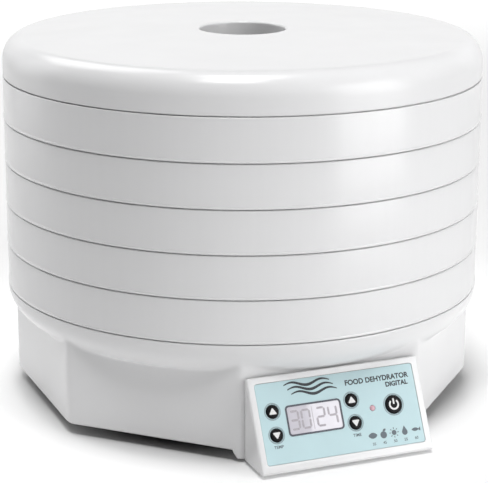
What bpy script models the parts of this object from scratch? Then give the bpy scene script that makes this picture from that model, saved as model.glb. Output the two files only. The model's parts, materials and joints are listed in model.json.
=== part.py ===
"""Food dehydrator: a domed lid and five round stacking trays on an octagonal powered base.

The stack axis is vertical. A fan and a ring heater in the base blow warm air up the hollow
rim of the trays; the air crosses each tray to its open centre and leaves by the lid's vent.
All lengths are metres, +Z is up, the feet stand at Z = 0 and the control panel faces -Y.
"""

import math

import bmesh
import bpy
from mathutils import Matrix

# ---------------------------------------------------------------- driving dimensions

GAP = 0.0003                 # clearance between neighbouring pieces
SEGMENTS = 36                # sides of the large round pieces
PIN_SIDES = 12               # sides of the small ones

STACK_RADIUS = 0.171
TRAY_PITCH = 0.030
TRAY_COUNT = 5
BASE_TOP = 0.0827            # seam between base and lowest tray
WALL = 0.0022                # moulded wall of lid and trays
LIP_OUTER = 0.168            # ring on top of each tray that locates the next one
LIP_INNER = 0.166
LIP_RISE = 0.0024

LIP_ROOT = 0.0025            # slope that joins the lip to the wall, inside

DUCT_INNER = 0.152           # inner wall of the hollow rim
DUCT_HIGH = 0.022
HUB_RADIUS = 0.032           # open centre of a tray
HUB_HIGH = 0.012
RING_WALL = 0.002            # wall of duct and hub
FLOOR_LOW = 0.0035           # underside of a tray's floor above its own foot edge
FLOOR_THICK = 0.003
SPOKES = 12
SPOKE_WIDTH = 0.0026

LID_RADIUS = 0.1706
LID_TOP = 0.2632
LID_CROWN = 0.003            # rise of the top from shoulder to vent
SHOULDER_WIDTH = 0.015
SHOULDER_HEIGHT = 0.017
VENT_RADIUS = 0.0305
VENT_DEPTH = 0.017
VENT_CHAMFER = 0.0012

BASE_WALL = 0.0025
CORNER_RADIUS = 0.1677       # octagon measured over its corners
BOWL_RADIUS = 0.025          # quarter round under the collar
SKIRT_BOTTOM = 0.0078
APRON_BOTTOM = 0.0020        # the front facet reaches lower than the others
APRON_DEPTH = 0.0045
CORNER_ROUNDING = 0.0033
BOSS_RING = 0.160            # screw bosses in four of the octagon's corners
BOSS_RADIUS = 0.0045
BOSS_HIGH = 0.040
PILOT_RADIUS = 0.0017        # pilot hole that a self-tapping screw bites into
CLEAR_RADIUS = 0.0019        # hole that its shank passes through
GLAND_X = 0.040              # cord grommet in the rear facet
GLAND_Z = 0.026
GLAND_HOLE = 0.0065

PLATE_LOW = 0.012            # bottom plate
PLATE_HIGH = 0.014
INTAKE_SLOTS = 12
INTAKE_WIDTH = 0.008
INTAKE_REACH = (0.026, 0.062)
FOOT_RING = 0.115
FOOT_RADIUS = 0.0095
SCREW_HEAD_RADIUS = 0.0033
SCREW_HEAD = 0.0016
SCREW_RADIUS = 0.0013

DECK_THICK = 0.002           # slotted cover of the base
DECK_SLOTS = 18
DECK_SLOT_REACH = (0.1515, 0.1608)
DECK_SLOT_LENGTH = 0.031

SHROUD_LOW = 0.044           # partition below the fan
SHROUD_HIGH = 0.046
SHROUD_RADIUS = 0.149
INLET_RADIUS = 0.055
POST_RING = 0.118
FAN_RADIUS = 0.080
FAN_LOW = 0.048
FAN_HIGH = 0.0635
FAN_BLADES = 14
BLADE_RING = 0.066
BLADE_LENGTH = 0.024
BLADE_THICK = 0.0010
BLADE_TURN = math.radians(35)
FAN_HUB_LOW = 0.0500
FAN_HUB_RADIUS = 0.010
FAN_HUB_HIGH = 0.0660
SHAFT_RADIUS = 0.0020
BEARING_RADIUS = 0.0039
MOTOR_LOW = 0.022            # motor's iron frame
MOTOR_HIGH = 0.036
MOTOR_SCREW_X = 0.0215
HEATER_RADIUS = 0.105
HEATER_TUBE = 0.0032
HEATER_HEIGHT = 0.058
HEATER_SIDES = 32
HEATER_TERMINAL_X = (-0.012, 0.012)
HEATER_TERMINAL_Y = -math.sqrt(HEATER_RADIUS ** 2 - HEATER_TERMINAL_X[1] ** 2)

POD_HALF_WIDTH = 0.0623      # control housing on the front facet
POD_GAP = 0.0015
POD_TOP = 0.0592
POD_TOP_REACH = 0.1582       # distance of the panel's top edge from the stack axis
POD_FOOT_REACH = 0.1875      # distance of the panel's bottom edge from the stack axis
POD_WALL = 0.0018
LABEL_HALF_WIDTH = 0.0573
LABEL_TOP = 0.0041           # measured down the slope from the panel's top edge
LABEL_BOTTOM = 0.0574
LABEL_SINK = 0.0003
LABEL_THICK = 0.0010
POD_SCREW_X = (-0.044, 0.044)
POD_SCREW_Z = 0.0072
POD_BOSS_RADIUS = 0.0042

DISPLAY = (-0.0380, 0.0003, 0.0213, 0.0400)      # left, right, top, bottom on the panel
BUTTONS = {                                       # across, down the slope, cap radius
    "temp_up": (-0.0478, 0.0230, 0.0042),
    "temp_down": (-0.0477, 0.0386, 0.0042),
    "time_up": (0.0091, 0.0230, 0.0042),
    "time_down": (0.0093, 0.0382, 0.0042),
    "power": (0.0391, 0.0299, 0.0059),
}
BUTTON_PROUD = 0.0004
BUTTON_CLEARANCE = 0.0005
BUTTON_COLLAR = 0.0012       # the collar's reach beyond the cap
COLLAR_THICK = 0.0009
BUTTON_SOFTNESS = 0.0003
SWITCH_TOP = -0.0056         # levels behind the panel, along its outward normal
SWITCH_SHOULDER = -0.0062
BOARD_FACE = -0.0082
LED = (0.0234, 0.0302, 0.0019)

# the stack axis sits back from the origin, so that the origin is the middle of the plan
AXIS_Y = (POD_FOOT_REACH - STACK_RADIUS) / 2
APOTHEM = CORNER_RADIUS * math.cos(math.pi / 8)
PANEL_TILT = math.atan2(POD_TOP - APRON_BOTTOM, POD_FOOT_REACH - POD_TOP_REACH)
FIRST_SEAM = BASE_TOP + TRAY_COUNT * TRAY_PITCH


# ---------------------------------------------------------------- finishes

# colour, roughness and, for metals, how metallic
WHITE = ((0.80, 0.80, 0.80), 0.28)
BLACK = ((0.02, 0.02, 0.022), 0.4)
DARK_PLASTIC = ((0.10, 0.10, 0.105), 0.5)
AQUA = ((0.56, 0.76, 0.79), 0.35)
LENS = ((0.70, 0.68, 0.76), 0.1)
LED_RED = ((0.75, 0.30, 0.32), 0.25)
STEEL = ((0.62, 0.62, 0.62), 0.3, 1.0)
DARK_STEEL = ((0.25, 0.25, 0.26), 0.5, 1.0)
BRASS = ((0.62, 0.45, 0.22), 0.35, 1.0)
COPPER = ((0.60, 0.28, 0.12), 0.4, 1.0)
GREEN = ((0.03, 0.22, 0.10), 0.45)


# ---------------------------------------------------------------- scene and materials

def clear_scene():
    for obj in list(bpy.data.objects):
        bpy.data.objects.remove(obj, do_unlink=True)


def new_collection(name):
    collection = bpy.data.collections.new(name)
    bpy.context.scene.collection.children.link(collection)
    return collection


def new_material(name, colour, roughness, metallic=0.0):
    material = bpy.data.materials.new(name)
    material.use_nodes = True
    shader = material.node_tree.nodes["Principled BSDF"]
    shader.inputs["Base Color"].default_value = (*colour, 1.0)
    shader.inputs["Roughness"].default_value = roughness
    shader.inputs["Metallic"].default_value = metallic
    return material


def new_empty(name, parent=None, location=(0, 0, 0), rotation=(0, 0, 0)):
    empty = bpy.data.objects.new(name, None)
    empty.location = location
    empty.rotation_euler = rotation
    empty.parent = parent
    PARTS.objects.link(empty)
    return empty


clear_scene()
PARTS = new_collection("food_dehydrator")
CUTTERS = new_collection("cutters")
CUTTERS.hide_render = True
AXIS = new_empty("stack_axis", location=(0, AXIS_Y, 0))
PANEL = new_empty(
    "panel_frame", parent=AXIS,
    location=(0, -POD_TOP_REACH, POD_TOP), rotation=(PANEL_TILT, 0, 0),
)


# ---------------------------------------------------------------- modelling helpers

def place(name, mesh, finish, parent=AXIS, location=(0, 0, 0), rotation=(0, 0, 0)):
    """Put a mesh in the model as a named part, or as a cutter when it has no finish."""
    obj = bpy.data.objects.new(name, mesh)
    obj.location = location
    obj.rotation_euler = rotation
    obj.parent = parent
    if finish is None:
        CUTTERS.objects.link(obj)
        obj.hide_render = True
        obj.display_type = "WIRE"
        return obj
    PARTS.objects.link(obj)
    if not mesh.materials:
        mesh.materials.append(new_material(name, *finish))
    return obj


def profile_mesh(name, points, closed):
    bm = bmesh.new()
    verts = [bm.verts.new((radius, 0, height)) for radius, height in points]
    for first, second in zip(verts, verts[1:]):
        bm.edges.new((first, second))
    if closed:
        bm.edges.new((verts[-1], verts[0]))
    mesh = bpy.data.meshes.new(name)
    bm.to_mesh(mesh)
    bm.free()
    return mesh


def turned(name, points, finish, sides=SEGMENTS, **where):
    """Turn a profile about the local Z axis; it runs down its outer side, top to bottom."""
    closed = min(radius for radius, _ in points) > 0
    obj = place(name, profile_mesh(name, points, closed), finish, **where)
    screw = obj.modifiers.new("Screw", "SCREW")
    screw.steps = sides
    screw.render_steps = sides
    screw.use_merge_vertices = True
    screw.merge_threshold = 0.00001
    screw.use_smooth_shade = True
    return obj


def rod(name, radius, low, high, finish, sides=PIN_SIDES, **where):
    return turned(name, [(0, high), (radius, high), (radius, low), (0, low)],
                  finish, sides, **where)


def tube(name, outer, inner, low, high, finish, sides=PIN_SIDES, **where):
    return turned(name, [(outer, high), (outer, low), (inner, low), (inner, high)],
                  finish, sides, **where)


def boxes_mesh(name, boxes):
    """One mesh of boxes; each is (low corner, high corner) and an optional turn about Z."""
    bm = bmesh.new()
    for low, high, *turn in boxes:
        size = [b - a for a, b in zip(low, high)]
        middle = [(a + b) / 2 for a, b in zip(low, high)]
        spin = Matrix.Rotation(turn[0] if turn else 0.0, 4, "Z")
        shape = Matrix.Translation(middle) @ Matrix.Diagonal((*size, 1.0))
        bmesh.ops.create_cube(bm, size=1.0, matrix=spin @ shape)
    mesh = bpy.data.meshes.new(name)
    bm.to_mesh(mesh)
    bm.free()
    return mesh


def box(name, low, high, finish, **where):
    return place(name, boxes_mesh(name, [(low, high)]), finish, **where)


def rods_mesh(name, rods, sides=PIN_SIDES):
    """One mesh of upright rods; each is (x, y, radius, low, high)."""
    bm = bmesh.new()
    for x, y, radius, low, high in rods:
        bmesh.ops.create_cone(
            bm, cap_ends=True, segments=sides, radius1=radius, radius2=radius,
            depth=high - low, matrix=Matrix.Translation((x, y, (low + high) / 2)))
    mesh = bpy.data.meshes.new(name)
    bm.to_mesh(mesh)
    bm.free()
    return mesh


def octagon_mesh(name, apothem, low, high, rounding=0.0):
    """An upright octagonal prism with a facet square to each axis."""
    bm = bmesh.new()
    radius = apothem / math.cos(math.pi / 8)
    matrix = Matrix.Translation((0, 0, (low + high) / 2)) @ Matrix.Rotation(math.pi / 8, 4, "Z")
    bmesh.ops.create_cone(bm, cap_ends=True, segments=8, radius1=radius, radius2=radius,
                          depth=high - low, matrix=matrix)
    if rounding:
        upright = [edge for edge in bm.edges
                   if abs(edge.verts[0].co.z - edge.verts[1].co.z) > (high - low) / 2]
        bmesh.ops.bevel(bm, geom=upright, offset=rounding, segments=3, profile=0.5,
                        affect="EDGES")
    mesh = bpy.data.meshes.new(name)
    bm.to_mesh(mesh)
    bm.free()
    return mesh


def uprights(places, radius, low, high):
    """Rods of one size at several (x, y) places."""
    return [(x, y, radius, low, high) for x, y in places]


def boolean(target, tool, operation):
    modifier = target.modifiers.new(tool.name, "BOOLEAN")
    modifier.operation = operation
    modifier.solver = "EXACT"
    modifier.object = tool


def cut(target, tool):
    boolean(target, tool, "DIFFERENCE")


def join(target, tool):
    boolean(target, tool, "UNION")


def arc(centre_r, centre_z, width, height, start, stop, steps):
    """Points of an ellipse in the profile plane, from one angle in degrees to another."""
    angles = [math.radians(start + (stop - start) * i / steps) for i in range(steps + 1)]
    return [(centre_r + width * math.cos(a), centre_z + height * math.sin(a)) for a in angles]


def around(radius, count, first=0.0):
    """Evenly spaced (x, y, angle) places on a circle."""
    for i in range(count):
        angle = first + 2 * math.pi * i / count
        yield radius * math.cos(angle), radius * math.sin(angle), angle


# ---------------------------------------------------------------- lid and trays

def make_lid():
    """A domed cover with a straight rim and a deep open vent neck in its middle."""
    low = FIRST_SEAM + GAP / 2
    shoulder_r = LID_RADIUS - SHOULDER_WIDTH
    shoulder_z = LID_TOP - LID_CROWN - SHOULDER_HEIGHT
    neck = VENT_RADIUS + WALL
    outer = arc(shoulder_r, shoulder_z, SHOULDER_WIDTH, SHOULDER_HEIGHT, 90, 0, 4)
    inner = arc(shoulder_r, shoulder_z, SHOULDER_WIDTH - WALL, SHOULDER_HEIGHT - WALL, 0, 90, 3)
    profile = [
        (VENT_RADIUS, LID_TOP - VENT_CHAMFER), (VENT_RADIUS + VENT_CHAMFER, LID_TOP),
        (shoulder_r * 0.6, LID_TOP - LID_CROWN * 0.36), *outer, (LID_RADIUS, low),
        (LID_RADIUS - WALL, low), *inner,
        (neck, LID_TOP - LID_CROWN * 0.2 - WALL), (neck, LID_TOP - VENT_DEPTH),
        (VENT_RADIUS, LID_TOP - VENT_DEPTH),
    ]
    turned("lid", profile, WHITE)


def make_tray_mesh():
    """One tray: outer wall with a locating lip, inner duct wall, open hub and spoked floor."""
    low = GAP / 2
    high = TRAY_PITCH - GAP / 2
    wall_inner = STACK_RADIUS - WALL
    floor_high = FLOOR_LOW + FLOOR_THICK
    shell = turned("tray_shell", [
        (STACK_RADIUS, high), (STACK_RADIUS, low), (wall_inner, low),
        (wall_inner, high - LIP_ROOT - 0.0035), (LIP_INNER, high - 0.0035),
        (LIP_INNER, high + LIP_RISE), (LIP_OUTER, high + LIP_RISE), (LIP_OUTER, high),
    ], None, parent=None)
    duct = tube("tray_duct_wall", DUCT_INNER + RING_WALL, DUCT_INNER, FLOOR_LOW, DUCT_HIGH,
                None, SEGMENTS, parent=None)
    hub = tube("tray_hub", HUB_RADIUS + RING_WALL, HUB_RADIUS, FLOOR_LOW, HUB_HIGH,
               None, SEGMENTS // 2, parent=None)
    spokes = place("tray_spokes", boxes_mesh("tray_spokes", [
        ((HUB_RADIUS + 0.001, -SPOKE_WIDTH / 2, FLOOR_LOW + 0.0002),
         (wall_inner + 0.001, SPOKE_WIDTH / 2, floor_high), angle)
        for _, _, angle in around(1, SPOKES, math.radians(3))
    ]), None, parent=None)
    for piece in (duct, hub, spokes):
        join(shell, piece)
    bpy.context.view_layer.update()
    graph = bpy.context.evaluated_depsgraph_get()
    return bpy.data.meshes.new_from_object(shell.evaluated_get(graph))


def make_trays():
    mesh = make_tray_mesh()
    mesh.name = "tray"
    mesh.materials.append(new_material("tray", *WHITE))
    for number in range(1, TRAY_COUNT + 1):
        height = FIRST_SEAM - number * TRAY_PITCH
        place(f"tray_{number}", mesh, WHITE, location=(0, 0, height))


# ---------------------------------------------------------------- base shell

def base_screw_places():
    """The housing's screw bosses stand in four of the octagon's corners."""
    return [(x, y) for x, y, _ in around(BOSS_RING, 4, math.radians(22.5))]


def make_base_housing():
    """An octagonal skirt that swells into a round collar, open above and below."""
    bowl_r = STACK_RADIUS - BOWL_RADIUS
    top = BASE_TOP - GAP / 2
    lip = top + LIP_RISE
    housing = place("base_housing",
                    octagon_mesh("base_housing", APOTHEM, APRON_BOTTOM, 0.0715, CORNER_ROUNDING),
                    WHITE)
    join(housing, turned("collar_outer", [
        (0, lip), (LIP_OUTER, lip), (LIP_OUTER, top),
        *arc(bowl_r, top, BOWL_RADIUS, BOWL_RADIUS, 0, -90, 6), (0, top - BOWL_RADIUS),
    ], None))
    hollow = BOWL_RADIUS - BASE_WALL
    cut(housing, turned("collar_inner", [
        (0, 0.095), (LIP_INNER, 0.095), (LIP_INNER, top - 0.004),
        *arc(bowl_r, top, hollow, hollow, -12, -90, 4), (0, top - hollow),
    ], None))
    cut(housing, place("skirt_inner", octagon_mesh(
        "skirt_inner", APOTHEM - BASE_WALL, -0.010, 0.067, CORNER_ROUNDING), None))
    reach = STACK_RADIUS + 0.010
    cut(housing, box("skirt_trim", (-reach, APRON_DEPTH - APOTHEM, -0.010),
                     (reach, reach, SKIRT_BOTTOM), None))
    join(housing, place("screw_bosses", rods_mesh("screw_bosses", uprights(
        base_screw_places(), BOSS_RADIUS, PLATE_HIGH + GAP, BOSS_HIGH)), None))
    cut(housing, place("boss_bores", rods_mesh("boss_bores", uprights(
        base_screw_places(), PILOT_RADIUS, 0.010, BOSS_HIGH - 0.010)), None))
    cut(housing, box("wiring_opening", (-0.015, -0.160, 0.025), (0.015, -0.148, 0.042), None))
    cut(housing, place("pod_screw_holes", rods_mesh("pod_screw_holes", uprights(
        [(x, 0) for x in POD_SCREW_X], CLEAR_RADIUS, -0.010, 0.010)), None,
        location=(0, -APOTHEM, POD_SCREW_Z), rotation=(math.pi / 2, 0, 0)))
    cut(housing, rod("gland_hole", GLAND_HOLE, -0.010, 0.010, None,
                     location=(GLAND_X, APOTHEM, GLAND_Z), rotation=(math.pi / 2, 0, 0)))


def make_bottom_plate():
    """A flat octagonal plate with a ring of radial intake slots under the fan."""
    plate = place("bottom_plate", octagon_mesh(
        "bottom_plate", APOTHEM - BASE_WALL - 0.0006, PLATE_LOW, PLATE_HIGH, CORNER_ROUNDING),
        DARK_PLASTIC)
    inner, outer = INTAKE_REACH
    cut(plate, place("intake_slots", boxes_mesh("intake_slots", [
        ((inner, -INTAKE_WIDTH / 2, 0.010), (outer, INTAKE_WIDTH / 2, 0.016), angle)
        for _, _, angle in around(1, INTAKE_SLOTS)]), None))
    cut(plate, place("plate_screw_holes", rods_mesh("plate_screw_holes", uprights(
        base_screw_places(), CLEAR_RADIUS, 0.010, 0.016)), None))


def make_feet():
    high = PLATE_LOW - GAP
    profile = [(0, high), (FOOT_RADIUS, high), (FOOT_RADIUS, 0.0015),
               (FOOT_RADIUS - 0.001, 0), (0, 0)]
    for number, (x, y, _) in enumerate(around(FOOT_RING, 4, math.radians(45)), 1):
        turned(f"foot_{number}", profile, BLACK, 16, location=(x, y, 0))


def screw_profile(length, head_radius=SCREW_HEAD_RADIUS, head_high=SCREW_HEAD,
                  shank_radius=SCREW_RADIUS):
    """A pan-head screw hanging head down: the head's flat is at the bottom, Z = 0."""
    return [(0, length), (shank_radius, length), (shank_radius, head_high),
            (head_radius, head_high), (head_radius, 0), (0, 0)]


def make_base_screws():
    for number, (x, y) in enumerate(base_screw_places(), 1):
        turned(f"base_screw_{number}", screw_profile(0.016), STEEL, 10,
               location=(x, y, PLATE_LOW - GAP - SCREW_HEAD))


def make_air_deck():
    """The cover of the base: a shallow upturned pan with air slots round its low flange."""
    middle, rim, flange = 0.0805, 0.0775, 0.0720       # heights of the pan and its flange
    deck = turned("air_deck", [
        (0, middle), (0.030, middle), (0.146, rim), (0.149, rim - 0.002), (0.1495, flange),
        (0.1636, flange), (0.1636, flange - DECK_THICK), (0.1475, flange - DECK_THICK),
        (0.1470, rim - 0.0037), (0.145, rim - DECK_THICK), (0.030, middle - DECK_THICK),
        (0, middle - DECK_THICK),
    ], WHITE)
    inner, outer = DECK_SLOT_REACH
    cut(deck, place("air_slots", boxes_mesh("air_slots", [
        ((inner, -DECK_SLOT_LENGTH / 2, flange - 0.004), (outer, DECK_SLOT_LENGTH / 2, flange + 0.002),
         angle)
        for _, _, angle in around(1, DECK_SLOTS, math.radians(5))]), None))


# ---------------------------------------------------------------- fan, motor and heater

def make_fan_shroud():
    """The partition below the fan, on four posts, with a round air inlet."""
    shroud = tube("fan_shroud", SHROUD_RADIUS, INLET_RADIUS, SHROUD_LOW, SHROUD_HIGH, STEEL,
                  SEGMENTS)
    posts = uprights([(x, y) for x, y, _ in around(POST_RING, 4, math.radians(45))],
                     0.004, PLATE_HIGH + GAP, SHROUD_LOW + 0.001)
    join(shroud, place("shroud_posts", rods_mesh("shroud_posts", posts, 8), None))
    terminals = uprights([(x, HEATER_TERMINAL_Y) for x in HEATER_TERMINAL_X],
                         HEATER_TUBE + 2 * GAP, SHROUD_LOW - 0.002, SHROUD_HIGH + 0.002)
    cut(shroud, place("terminal_holes", rods_mesh("terminal_holes", terminals), None))


def motor_holes(name, bore, low, high):
    """A bore on the axis and a screw hole on each side of it."""
    return place(name, rods_mesh(name, [
        (0, 0, bore, low, high),
        *uprights([(-MOTOR_SCREW_X, 0), (MOTOR_SCREW_X, 0)], 0.0020, low, high)]), None)


def make_motor_mount():
    """A flat bar under the inlet that carries the motor."""
    low, high = 0.0415, SHROUD_LOW - GAP
    mount = box("motor_mount", (-0.066, -0.009, low), (0.066, 0.009, high), STEEL)
    cut(mount, motor_holes("mount_holes", 0.0045, low - 0.001, high + 0.001))


def make_motor():
    """A shaded-pole motor: iron frame, coil on its back limb, two bearing brackets."""
    below, above = MOTOR_LOW - 0.002, MOTOR_HIGH + 0.002
    stator = box("motor_stator", (-0.028, -0.020, MOTOR_LOW), (0.028, 0.044, MOTOR_HIGH),
                 DARK_STEEL)
    cut(stator, box("stator_window", (-0.0185, 0.018, below), (0.0185, 0.034, above), None))
    cut(stator, motor_holes("stator_holes", 0.0125, below, above))
    coil = box("motor_coil", (-0.016, 0.0285, 0.0175), (0.016, 0.0495, 0.0405), COPPER)
    cut(coil, box("coil_core", (-0.020, 0.034 - GAP, MOTOR_LOW - GAP),
                  (0.020, 0.044 + GAP, MOTOR_HIGH + GAP), None))
    for side, low, high in (("upper", MOTOR_HIGH + GAP, 0.0412),
                            ("lower", 0.0185, MOTOR_LOW - GAP)):
        bracket = box(f"bearing_bracket_{side}", (-0.027, -0.0075, low), (0.027, 0.0075, high),
                      STEEL)
        cut(bracket, motor_holes(f"bracket_holes_{side}", BEARING_RADIUS + GAP,
                                 low - 0.001, high + 0.001))
        tube(f"bearing_{side}", BEARING_RADIUS, SHAFT_RADIUS + GAP, low + 0.0001,
             high - 0.0001, BRASS)
    for number, x in enumerate((-MOTOR_SCREW_X, MOTOR_SCREW_X), 1):
        turned(f"motor_screw_{number}", screw_profile(0.0285, 0.0035, 0.0018, 0.0016), STEEL,
               10, location=(x, 0, 0.0458), rotation=(math.pi, 0, 0))


def make_fan():
    """The spinning set: shaft, rotor, bladed impeller and the clip that keeps it on."""
    bore = SHAFT_RADIUS + GAP
    disc_low = FAN_HIGH - 0.0015
    rod("motor_shaft", SHAFT_RADIUS, 0.0160, 0.0690, STEEL)
    tube("motor_rotor", 0.0117, bore, MOTOR_LOW + 0.0005, MOTOR_HIGH - 0.0005, DARK_STEEL, 16)
    tube("fan_clip", 0.0045, bore, FAN_HUB_HIGH + 0.0005, FAN_HUB_HIGH + 0.0020, STEEL)
    impeller = turned("fan_impeller", [
        (FAN_HUB_RADIUS, FAN_HUB_HIGH), (FAN_HUB_RADIUS, FAN_HIGH), (FAN_RADIUS, FAN_HIGH),
        (FAN_RADIUS, disc_low), (FAN_HUB_RADIUS, disc_low), (FAN_HUB_RADIUS, FAN_HUB_LOW),
        (bore, FAN_HUB_LOW), (bore, FAN_HUB_HIGH),
    ], STEEL)
    blade_high = disc_low + 0.0008
    size = Matrix.Diagonal((BLADE_LENGTH, BLADE_THICK, blade_high - FAN_LOW, 1.0))
    bm = bmesh.new()
    for x, y, angle in around(BLADE_RING, FAN_BLADES):
        middle = Matrix.Translation((x, y, (FAN_LOW + blade_high) / 2))
        spin = Matrix.Rotation(angle + BLADE_TURN, 4, "Z")
        bmesh.ops.create_cube(bm, size=1.0, matrix=middle @ spin @ size)
    mesh = bpy.data.meshes.new("fan_blades")
    bm.to_mesh(mesh)
    bm.free()
    join(impeller, place("fan_blades", mesh, None))


def make_heating_element():
    """A sheathed ring of heating rod whose two ends turn down through the shroud."""
    curve = bpy.data.curves.new("heating_element", "CURVE")
    curve.dimensions = "3D"
    curve.bevel_depth = HEATER_TUBE
    curve.bevel_resolution = 2
    curve.use_fill_caps = True
    spline = curve.splines.new("POLY")
    half_gap = math.atan2(HEATER_TERMINAL_X[1], -HEATER_TERMINAL_Y)
    start = -math.pi / 2 + half_gap
    sweep = 2 * math.pi - 2 * half_gap
    angles = [start + sweep * i / HEATER_SIDES for i in range(HEATER_SIDES + 1)]
    ring = [(HEATER_RADIUS * math.cos(a), HEATER_RADIUS * math.sin(a), HEATER_HEIGHT)
            for a in angles]
    drop = [HEATER_HEIGHT - 0.004, 0.036]
    first, last = ring[0], ring[-1]
    route = [(first[0], first[1], z) for z in reversed(drop)] + ring
    route += [(last[0], last[1], z) for z in drop]
    spline.points.add(len(route) - 1)
    for point, place_at in zip(spline.points, route):
        point.co = (*place_at, 1.0)
    obj = bpy.data.objects.new("heating_element", curve)
    obj.parent = AXIS
    curve.materials.append(new_material("heating_element", *DARK_STEEL))
    PARTS.objects.link(obj)


def make_heater_clips():
    for number, (x, y, angle) in enumerate(around(HEATER_RADIUS, 3, math.radians(30)), 1):
        clip = box(f"heater_clip_{number}", (-0.006, -0.003, SHROUD_HIGH + GAP),
                   (0.006, 0.003, HEATER_HEIGHT + 0.0055), STEEL,
                   location=(x, y, 0), rotation=(0, 0, angle))
        bore = rod(f"clip_bore_{number}", HEATER_TUBE + 2 * GAP, -0.010, 0.010, None,
                   location=(x, y, HEATER_HEIGHT), rotation=(math.pi / 2, 0, angle))
        cut(clip, bore)


def make_sensors():
    """A thermal cut-out and a temperature probe, standing on the partition by the heater."""
    foot = SHROUD_HIGH + GAP
    turned("thermal_cutout", [
        (0, 0.0545), (0.0035, 0.0545), (0.0035, 0.0520), (0.0080, 0.0520),
        (0.0080, foot), (0, foot)], BLACK, 16,
        location=(0.126, 0.0, 0))
    turned("temperature_sensor", [
        (0, 0.0660), (0.0015, 0.0655), (0.0022, 0.0640), (0.0022, 0.0560), (0.0035, 0.0540),
        (0.0035, foot), (0, foot)], STEEL, PIN_SIDES,
        location=(-0.132, 0.0, 0))


def make_power_parts():
    """The mains board, its transformer and relay, and the grommet for the power cord."""
    board_top = 0.0159
    box("power_board", (-0.046, -0.140, PLATE_HIGH + GAP), (0.046, -0.098, board_top), GREEN)
    box("transformer", (-0.042, -0.137, board_top + GAP), (-0.012, -0.110, 0.0385), DARK_STEEL)
    box("relay", (0.012, -0.126, board_top + GAP), (0.031, -0.111, 0.0320), BLACK)
    turned("cord_gland", [
        (0.0062, 0.0050), (0.0062, -GAP), (0.0092, -GAP), (0.0092, -0.0018),
        (0.0082, -0.0027), (0.0036, -0.0027), (0.0036, 0.0050)], BLACK, PIN_SIDES,
        location=(GLAND_X, APOTHEM, GLAND_Z), rotation=(math.pi / 2, 0, 0))


# ---------------------------------------------------------------- control housing

def wedge_mesh(name, half_width, back, low, sink):
    """A block behind the panel plane: its sloping face lies 'sink' inside that plane."""
    front = POD_FOOT_REACH + 0.005
    mesh = boxes_mesh(name, [((-half_width, -front, low), (half_width, -back, POD_TOP))])
    bm = bmesh.new()
    bm.from_mesh(mesh)
    outward = (0, -math.sin(PANEL_TILT), math.cos(PANEL_TILT))
    point = (0, -POD_TOP_REACH - outward[1] * -sink, POD_TOP - outward[2] * sink)
    everything = bm.verts[:] + bm.edges[:] + bm.faces[:]
    bmesh.ops.bisect_plane(bm, geom=everything, plane_co=point, plane_no=outward,
                           clear_outer=True)
    bmesh.ops.holes_fill(bm, edges=[edge for edge in bm.edges if edge.is_boundary])
    bmesh.ops.recalc_face_normals(bm, faces=bm.faces[:])
    bm.to_mesh(mesh)
    bm.free()
    return mesh


def on_panel(across, down, depth=0.0):
    """A place on the panel: to the right, down the slope and into the housing."""
    return (across, -down, -depth)


def label_box(name, grow, shallow, deep, finish):
    return box(name, on_panel(-LABEL_HALF_WIDTH - grow, LABEL_BOTTOM + grow, deep),
               on_panel(LABEL_HALF_WIDTH + grow, LABEL_TOP - grow, shallow), finish,
               parent=PANEL)


def display_box(name, grow, shallow, deep, finish):
    left, right, top, bottom = DISPLAY
    return box(name, on_panel(left - grow, bottom + grow, deep),
               on_panel(right + grow, top - grow, shallow), finish, parent=PANEL)


def panel_holes(name):
    """Round holes through label and housing for the five buttons and the lamp."""
    circles = [(across, down, radius + BUTTON_CLEARANCE)
               for across, down, radius in BUTTONS.values()]
    circles.append((LED[0], LED[1], LED[2] + GAP))
    rods = [(across, -down, radius, -0.006, 0.003) for across, down, radius in circles]
    return place(name, rods_mesh(name, rods, 16), None, parent=PANEL)


def make_control_housing(holes):
    """A hollow wedge on the front facet, open at its back, with a sunk label field."""
    back = APOTHEM + POD_GAP
    housing = place("control_housing",
                    wedge_mesh("control_housing", POD_HALF_WIDTH, back, APRON_BOTTOM, 0.0),
                    WHITE)
    bevel = housing.modifiers.new("Bevel", "BEVEL")
    bevel.width = 0.0005
    bevel.segments = 2
    bevel.limit_method = "ANGLE"
    face = LABEL_SINK + LABEL_THICK + GAP
    inside = place("housing_hollow", wedge_mesh(
        "housing_hollow", POD_HALF_WIDTH - POD_WALL, back - 0.004, APRON_BOTTOM + POD_WALL,
        face + POD_WALL), None)
    cut(housing, inside)
    cut(housing, label_box("label_field", GAP, -0.002, face, None))
    cut(housing, display_box("display_hole", GAP, -0.002, 0.006, None))
    cut(housing, holes)
    places = [(x, 0) for x in POD_SCREW_X]
    lying = {"location": (0, 0, POD_SCREW_Z), "rotation": (math.pi / 2, 0, 0)}
    join(housing, place("pod_bosses", rods_mesh("pod_bosses", uprights(
        places, POD_BOSS_RADIUS, back, back + 0.009)), None, **lying))
    cut(housing, place("pod_bores", rods_mesh("pod_bores", uprights(
        places, PILOT_RADIUS, back - 0.002, back + 0.007)), None, **lying))


def make_control_panel(holes):
    panel = label_box("control_panel", 0.0, LABEL_SINK, LABEL_SINK + LABEL_THICK, AQUA)
    cut(panel, display_box("window_hole", GAP, -0.002, 0.006, None))
    cut(panel, holes)


def make_display():
    display_box("display_window", 0.0, LABEL_SINK, LABEL_SINK + LABEL_THICK, LENS)
    display_box("display_module", -0.0004, LABEL_SINK + LABEL_THICK + GAP, -BOARD_FACE, BLACK)


def make_control_board():
    near = GAP - BOARD_FACE
    box("control_board", on_panel(-0.056, 0.0564, near + 0.0016), on_panel(0.056, 0.0179, near),
        GREEN, parent=PANEL)


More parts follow.
